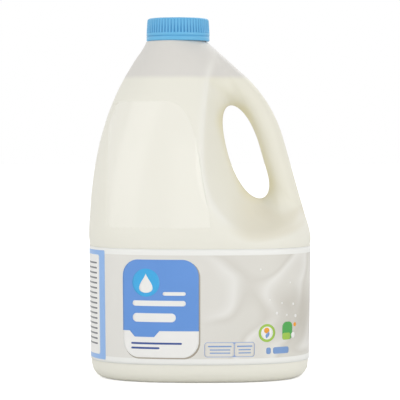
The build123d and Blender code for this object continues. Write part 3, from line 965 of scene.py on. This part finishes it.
@dataclass(frozen=True)
class Shape:
    """A flat printed shape: rows between two heights, each from a left to a right arc length."""

    bottom: float
    top: float
    left: Callable[[np.ndarray], np.ndarray]
    right: Callable[[np.ndarray], np.ndarray]
    layer: int = 1

    def slab(self, sleeve: Sleeve, back: bool) -> tuple:
        """Points and faces of the shape as a thin closed slab on the sleeve.

        Args:
            sleeve: the sleeve that carries it.
            back: puts it on the back, half a girth round.

        Returns:
            The points and the faces.
        """
        share = 0.5 - 0.499 * np.cos(np.linspace(0.0, math.pi, 25))
        rows = self.bottom + (self.top - self.bottom) * share
        widest = float(np.max(self.right(rows) - self.left(rows)))
        columns = np.linspace(0.0, 1.0, max(3, int(widest / 1.6) + 2))
        low, high = self.left(rows)[:, None], self.right(rows)[:, None]
        arc = low + (high - low) * columns + (sleeve.girth / 2 if back else 0.0)
        z = np.broadcast_to(rows[:, None], arc.shape)
        outside = sleeve.place(arc, z, sleeve.outer + INK_STEP * self.layer)
        inside = sleeve.place(arc, z, sleeve.outer - INK_ROOT)
        count = arc.size
        faces = grid_faces(*arc.shape)
        number = np.arange(count).reshape(arc.shape)
        rim = np.concatenate([number[0], number[1:, -1], number[-1, -2::-1], number[-2:0:-1, 0]])
        walls = np.stack([rim, np.roll(rim, -1), np.roll(rim, -1) + count, rim + count], axis=-1)
        points = np.concatenate([outside.reshape(-1, 3), inside.reshape(-1, 3)])
        return points, np.concatenate([faces, faces[:, ::-1] + count, walls[:, ::-1]])


def rounded_box(left: float, right: float, bottom: float, top: float, radius: float, layer: int = 1) -> Shape:
    """A rectangle with round corners: each side steps in by r - sqrt(r^2 - d^2) near the corners."""

    def step_in(z: np.ndarray) -> np.ndarray:
        """How far the corners' arcs draw the sides in at a height."""
        into = np.maximum(np.maximum(bottom + radius - z, z - (top - radius)), 0.0)
        return radius - np.sqrt(np.maximum(radius**2 - into**2, 0.0))

    return Shape(bottom, top, lambda z: left + step_in(z), lambda z: right - step_in(z), layer)


def disc(x: float, z: float, radius: float, layer: int = 1) -> Shape:
    """A round spot."""
    return rounded_box(x - radius, x + radius, z - radius, z + radius, radius, layer)


def drop(x: float, z: float, radius: float, layer: int = 1) -> Shape:
    """A drop: half width r * sqrt(1 - t^2) * (1 - t) / 1.3 with t from -1 at its foot to 1 at its tip."""

    def half(height: np.ndarray) -> np.ndarray:
        """Half the drop's width at a height."""
        t = np.clip((height - z) / (1.4 * radius), -1.0, 1.0)
        return radius * np.sqrt(1 - t**2) * (1 - t) / 1.3

    return Shape(z - 1.4 * radius, z + 1.4 * radius, lambda h: x - half(h), lambda h: x + half(h), layer)


def leaf(x: float, z: float, radius: float, layer: int = 1) -> Shape:
    """A leaf that leans to the right: half width r * (1 - t^2) * 0.6 about a line that leans by t."""

    def middle(height: np.ndarray) -> np.ndarray:
        """The leaf's middle at a height."""
        return x + 0.35 * (height - z)

    def half(height: np.ndarray) -> np.ndarray:
        """Half the leaf's width at a height."""
        return 0.6 * radius * (1 - np.clip((height - z) / radius, -1.0, 1.0) ** 2)

    return Shape(z - radius, z + radius, lambda h: middle(h) - half(h), lambda h: middle(h) + half(h), layer)


@dataclass
class Print:
    """What is printed on the sleeve: a badge, panels, marks and plain bars, in flat inks."""

    sleeve: Sleeve
    inks: dict = field(
        default_factory=lambda: {
            "badge_blue": srgb(100, 150, 220),
            "paper_white": srgb(240, 239, 236),
            "sky_blue": srgb(62, 172, 230),
            "side_blue": srgb(150, 187, 236),
            "shadow": srgb(172, 163, 148),
            "outline": srgb(148, 170, 214),
            "film_grey": srgb(224, 221, 214),
            "soft_blue": srgb(124, 158, 208),
            "deep_blue": srgb(58, 84, 150),
            "lime": srgb(160, 198, 78),
            "orange": srgb(240, 160, 45),
            "green": srgb(80, 168, 82),
            "grey": srgb(120, 122, 126),
        }
    )

    def badge(self) -> dict:
        """The large round-cornered badge, blue over white, with its shadow, spot and bars."""
        left, right, bottom, top, radius = -52.4, -0.7, 17.5, 82.6, 11.2
        split, tab_foot, tab_slant = 35.2, 31.2, 0.9

        def tab_left(z: np.ndarray) -> np.ndarray:
            """The tab's slanted left side."""
            return -47.5 + (split - z) * tab_slant

        def tab_right(z: np.ndarray) -> np.ndarray:
            """The tab's slanted right side."""
            return -27.0 - (split - z) * tab_slant

        white = rounded_box(left, right, bottom, top, radius, 2)
        blue = Shape(split, top, white.left, white.right, 3)
        bars = [(-24.6, -9.4, 58.8, 61.2), (-45.2, -9.4, 51.8, 55.4), (-45.2, -16.0, 41.2, 47.0)]
        lines = [(-46.5, -12.0, 26.3, 27.6), (-46.5, -27.0, 23.2, 24.5)]
        return {
            "shadow": [rounded_box(left + 0.6, right + 0.9, bottom - 0.9, top - 0.6, radius, 1)],
            "paper_white": [white]
            + [rounded_box(a, b, c, d, 0.48 * (d - c), 4) for a, b, c, d in bars]
            + [drop(-36.0, 67.0, 4.6, 5)],
            "badge_blue": [blue, Shape(tab_foot, split + 0.4, tab_left, tab_right, 3)],
            "sky_blue": [disc(-36.0, 67.3, 9.3, 4)],
            "deep_blue": [rounded_box(a, b, c, d, 0.6, 3) for a, b, c, d in lines],
        }

    def panels(self) -> dict:
        """The small table in its outline, the two marks and the bars beside them."""
        cells = [(3.3, 22.6), (23.1, 36.3)]
        round_x, round_z = 45.3, 33.5
        near_edge = self.sleeve.arc_at(60.5)
        mark_left, mark_foot = near_edge - 6.0, 28.4
        volume_start = self.sleeve.arc_at(44.6)
        volume = [(volume_start, volume_start + 3.4), (volume_start + 5.0, volume_start + 17.5)]
        splash = [(52.5, 46.5, 0.9), (56.4, 53.0, 0.6), (60.5, 45.0, 0.7), (47.2, 55.5, 0.5)]
        splash += [(66.0, 52.0, 0.9), (40.5, 76.0, 0.6), (63.0, 66.5, 0.6), (68.5, 44.0, 1.1)]
        return {
            "outline": [rounded_box(2.9, 36.7, 18.0, 27.9, 2.0, 1)],
            "film_grey": [rounded_box(a, b, 18.4, 27.5, 1.5, 2) for a, b in cells],
            "paper_white": [disc(round_x, round_z, 4.3, 2), disc(near_edge + 3.4, 31.2, 1.9, 2)]
            + [disc(x, z, r, 1) for x, z, r in splash],
            "soft_blue": [rounded_box(6.4, 20.2, z, z + 0.7, 0.3, 3) for z in (20.4, 22.5)]
            + [rounded_box(5.2, 21.0, 24.7, 25.6, 0.4, 3), rounded_box(24.6, 35.0, 24.7, 25.6, 0.4, 3)]
            + [rounded_box(25.6, 34.0, z, z + 0.7, 0.3, 3) for z in (20.4, 22.5)]
            + [rounded_box(a, b, 19.4, 23.8, 1.4, 1) for a, b in volume]
            + [leaf(45.6, 32.2, 2.2, 3)],
            "lime": [
                disc(round_x, round_z, 6.0, 1),
                rounded_box(mark_left, near_edge + 0.8, mark_foot, 33.0, 1.6, 2),
            ],
            "orange": [disc(45.0, 35.2, 1.9, 3), disc(near_edge + 5.0, 38.2, 1.4, 1)],
            "green": [rounded_box(mark_left, near_edge + 2.6, mark_foot, 40.4, 3.4, 1)],
        }

    def sides(self) -> dict:
        """The blue field round each end, with a pale panel of rows of small bars."""
        low, high = self.sleeve.foot + 1.6, self.sleeve.top - 1.8
        to_field = self.sleeve.arc_at(64.2)
        start = -to_field
        end = self.sleeve.girth / -2 - start
        frame_width, margin = 6.0, 3.0
        inner_start, inner_end = start - frame_width, end + frame_width
        right_start = self.sleeve.girth / 4 - 7.0
        rows = np.arange(24.0, 80.0, 3.4)
        row_start = inner_start - margin
        reach = row_start - (inner_end + margin)
        share = 0.72 + 0.25 * np.sin(rows * 1.7)
        return {
            "side_blue": [
                rounded_box(end, start, low, high, 1.0, 1),
                rounded_box(right_start, self.sleeve.girth / 2 - to_field, 26.0, high, 1.0, 1),
            ],
            "paper_white": [rounded_box(inner_end, inner_start, low + 3.2, high - 3.2, 1.6, 2)],
            "grey": [
                rounded_box(row_start - reach * part, row_start, z, z + 1.1, 0.5, 3)
                for z, part in zip(rows.tolist(), share.tolist())
            ],
        }

    def build(self) -> None:
        """One piece for each ink, with the badge and panels on the front and the back."""
        wanted = [(self.badge(), False), (self.badge(), True), (self.panels(), False), (self.panels(), True)]
        wanted.append((self.sides(), False))
        for ink, colour in self.inks.items():
            points, faces, count = [], [], 0
            for shapes, back in wanted:
                for shape in shapes.get(ink, []):
                    more_points, more_faces = shape.slab(self.sleeve, back)
                    points.append(more_points)
                    faces.append(more_faces + count)
                    count += len(more_points)
            finish = Ink(ink, colour).material()
            make_piece(f"print_{ink}", np.concatenate(points), np.concatenate(faces), finish)


# ------------------------------------------------------------------ cap


@dataclass
class ScrewCap:
    """The screw cap: ribbed skirt, rounded edge, flat top with a faint ring, and tear-off band."""

    axis_offset: float
    foot: float = 228.7
    height: float = 15.4
    radius: float = 21.5
    taper: float = 0.5
    bore: float = 18.95
    top_thickness: float = 1.4
    rounding: float = 2.0
    ribs: int = 60
    steps_for_rib: int = 12
    groove: float = 0.6
    band: float = 5.2
    slit: float = 3.0

    def profile(self) -> np.ndarray:
        """The section as (radius, height): up the bore's mirror, from the top's middle out and down."""
        turn = np.linspace(0.0, math.pi / 2, 9)
        edge_radius, edge_foot = self.radius - self.taper, self.height - self.rounding
        edge = [
            (edge_radius - self.rounding * (1 - math.sin(t)), self.height - self.rounding * (1 - math.cos(t)))
            for t in turn.tolist()
        ]
        ring = [(0.0, self.height - 0.25), (12.0, self.height - 0.25), (13.4, self.height - 0.2)]
        ring += [(14.0, self.height), (17.0, self.height)]
        skirt_foot = self.band + 0.2
        skirt = [
            (edge_radius + self.taper * t, edge_foot - t * (edge_foot - skirt_foot))
            for t in np.linspace(0.05, 1.0, 14).tolist()
        ]
        band = [
            (self.radius - 0.1, self.band),
            (self.radius, self.band - 0.25),
            (self.radius, self.slit + 0.40),
            (self.radius - 0.12, self.slit + 0.32),
            (self.radius - 0.6, self.slit + 0.30),
            (self.radius - 0.6, self.slit + 0.02),
            (self.radius - 0.12, self.slit),
            (self.radius, self.slit - 0.08),
            (self.radius, 0.4),
            (self.radius - 0.35, 0.0),
        ]
        inside = [(self.bore + 0.3, 0.0), (self.bore, 0.3), (self.bore, self.height - self.top_thickness)]
        inside += [(0.0, self.height - self.top_thickness)]
        return np.array(ring + edge + skirt + band + inside)

    def build(self) -> bpy.types.Object:
        """Carry the profile round, sinking the grooves between the ribs.

        Formula: the skirt's radius loses depth * (smooth step of 0.5 + 0.5 cos(ribs * turn)), full
        just above the band and fading out over the top's rounded edge.
        """
        profile = self.profile()
        steps = self.ribs * self.steps_for_rib
        turn = np.linspace(0.0, 2 * math.pi, steps, endpoint=False)
        wave = ease(0.5 + 0.5 * np.cos(self.ribs * turn), 0.35, 0.85)
        z = profile[:, 1]
        outside = (profile[:, 0] > self.bore + 0.5) & (np.arange(len(z)) < len(z) - 4)
        fading = 1 - 0.55 * ease(z, self.band, self.height - self.rounding)
        rise = ease(z, self.band, self.band + 0.3) * fading
        rise = rise * (1 - ease(z, self.height - 1.6, self.height - 0.4)) * outside
        sunk = wave[:, None] * rise[None, :]
        radius = profile[None, :, 0] - self.groove * sunk
        x = radius * np.cos(turn)[:, None] - self.axis_offset
        y = radius * np.sin(turn)[:, None]
        points = np.stack([x, y, np.broadcast_to(z + self.foot, x.shape)], axis=-1)
        faces = grid_faces(steps, len(z), close_rows=True)
        # How deep the grooves sink, which the cap's material darkens as painted shade.
        values = {"groove": np.clip(sunk * 1.4, 0, 1)}
        piece = make_piece("screw_cap", points, faces, CapPlastic().material(), ["cap"], values)
        close_poles(piece)
        return piece


def close_poles(piece: bpy.types.Object) -> None:
    """Merge the points that meet on the axis."""
    shape = bmesh.new()
    shape.from_mesh(piece.data)
    bmesh.ops.remove_doubles(shape, verts=shape.verts, dist=1e-7)
    bmesh.ops.recalc_face_normals(shape, faces=shape.faces)
    shape.to_mesh(piece.data)
    shape.free()


# ------------------------------------------------------------------ studio


@dataclass
class Studio:
    """A pale floor, soft lamps, a white surround and the camera."""

    distance: float = 1.32
    eye: float = 0.168
    aim: float = 0.1202
    lens: float = 173.4
    lit: float = 0.70
    floor_glow: float = 0.55
    floor_reach: float = 8.0
    lamp_target: tuple = (0.0, 0.0, 0.12)

    @staticmethod
    def _aim(thing: bpy.types.Object, place: Sequence, target: Sequence) -> None:
        """Put a lamp or the camera at a place, turned towards a target."""
        thing.location = place
        thing.rotation_euler = (Vector(target) - Vector(place)).to_track_quat("-Z", "Y").to_euler()

    def floor(self) -> None:
        """A pale floor that keeps the jug's shadow."""
        shop = Shop("floor_paint")
        path = shop.node("ShaderNodeLightPath", {}, {}, output="Is Camera Ray")
        glow = shop.mix(path, (0.0, 0.0, 0.0), (self.floor_glow,) * 3)
        paint = srgb(238, 238, 237)
        shop.set(Base_Color=paint, Roughness=0.7, Emission_Color=glow, Emission_Strength=1.0)
        mesh = bpy.data.meshes.new("floor")
        reach = self.floor_reach
        corners = [(-reach, -reach, 0), (reach, -reach, 0), (reach, reach, 0), (-reach, reach, 0)]
        mesh.from_pydata(corners, [], [(0, 1, 2, 3)])
        mesh.materials.append(shop.material)
        add_object("floor", mesh)

    def lamp(self, name: str, place: tuple, size: float, power: float) -> None:
        """A square soft lamp aimed at the jug's middle."""
        light = bpy.data.lights.new(name, "AREA")
        light.size = size
        light.energy = power
        self._aim(add_object(name, light), place, self.lamp_target)

    def world(self) -> None:
        """White where it is seen or mirrored, and softer where it only lights."""
        surround = bpy.data.worlds.new("surround")
        surround.use_nodes = True
        shop = Shop.on(surround)
        seen = [
            shop.node("ShaderNodeLightPath", {}, {}, output=f"Is {kind} Ray")
            for kind in ("Camera", "Glossy", "Transmission")
        ]
        either = (seen[0] + seen[1] + seen[2]).clamp()
        backdrop = surround.node_tree.nodes["Background"]
        shop.feed(backdrop.inputs["Color"], (1.0, 1.0, 1.0))
        shop.feed(backdrop.inputs["Strength"], either * (1.0 - self.lit) + self.lit)
        bpy.context.scene.world = surround

    def camera(self) -> None:
        """The camera, level with the shoulder and looking slightly down."""
        data = bpy.data.cameras.new("camera")
        data.lens = self.lens
        data.sensor_width = 36.0
        camera = add_object("camera", data)
        self._aim(camera, (0.0, -self.distance, self.eye), (0.0, 0.0, self.aim))
        bpy.context.scene.camera = camera

    def build(self) -> None:
        """Set the whole studio up."""
        self.camera()
        self.floor()
        self.world()
        self.lamp("key", (-1.25, -0.75, 0.55), 1.2, 4.0)
        self.lamp("low", (0.2, -1.5, 0.12), 1.0, 1.8)
        self.lamp("fill", (1.0, -1.0, 0.22), 0.9, 4.6)
        self.lamp("back", (0.3, 1.1, 1.0), 0.9, 3.6)
        bpy.context.scene.view_settings.view_transform = "Standard"


def main() -> None:
    """Build the studio and then the jug, piece by piece."""
    form = JugForm()
    milk_level = float(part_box("milk")[1][2]) / MM
    Studio().build()
    bottle = Bottle(form, milk_level)
    bottle.skin()
    bottle.neck()
    MilkFill(form, milk_level - 0.05).build()
    sleeve = Sleeve(form)
    sleeve.build()
    Print(sleeve).build()
    ScrewCap(form.neck_offset).build()


if __name__ == "__main__":
    main()
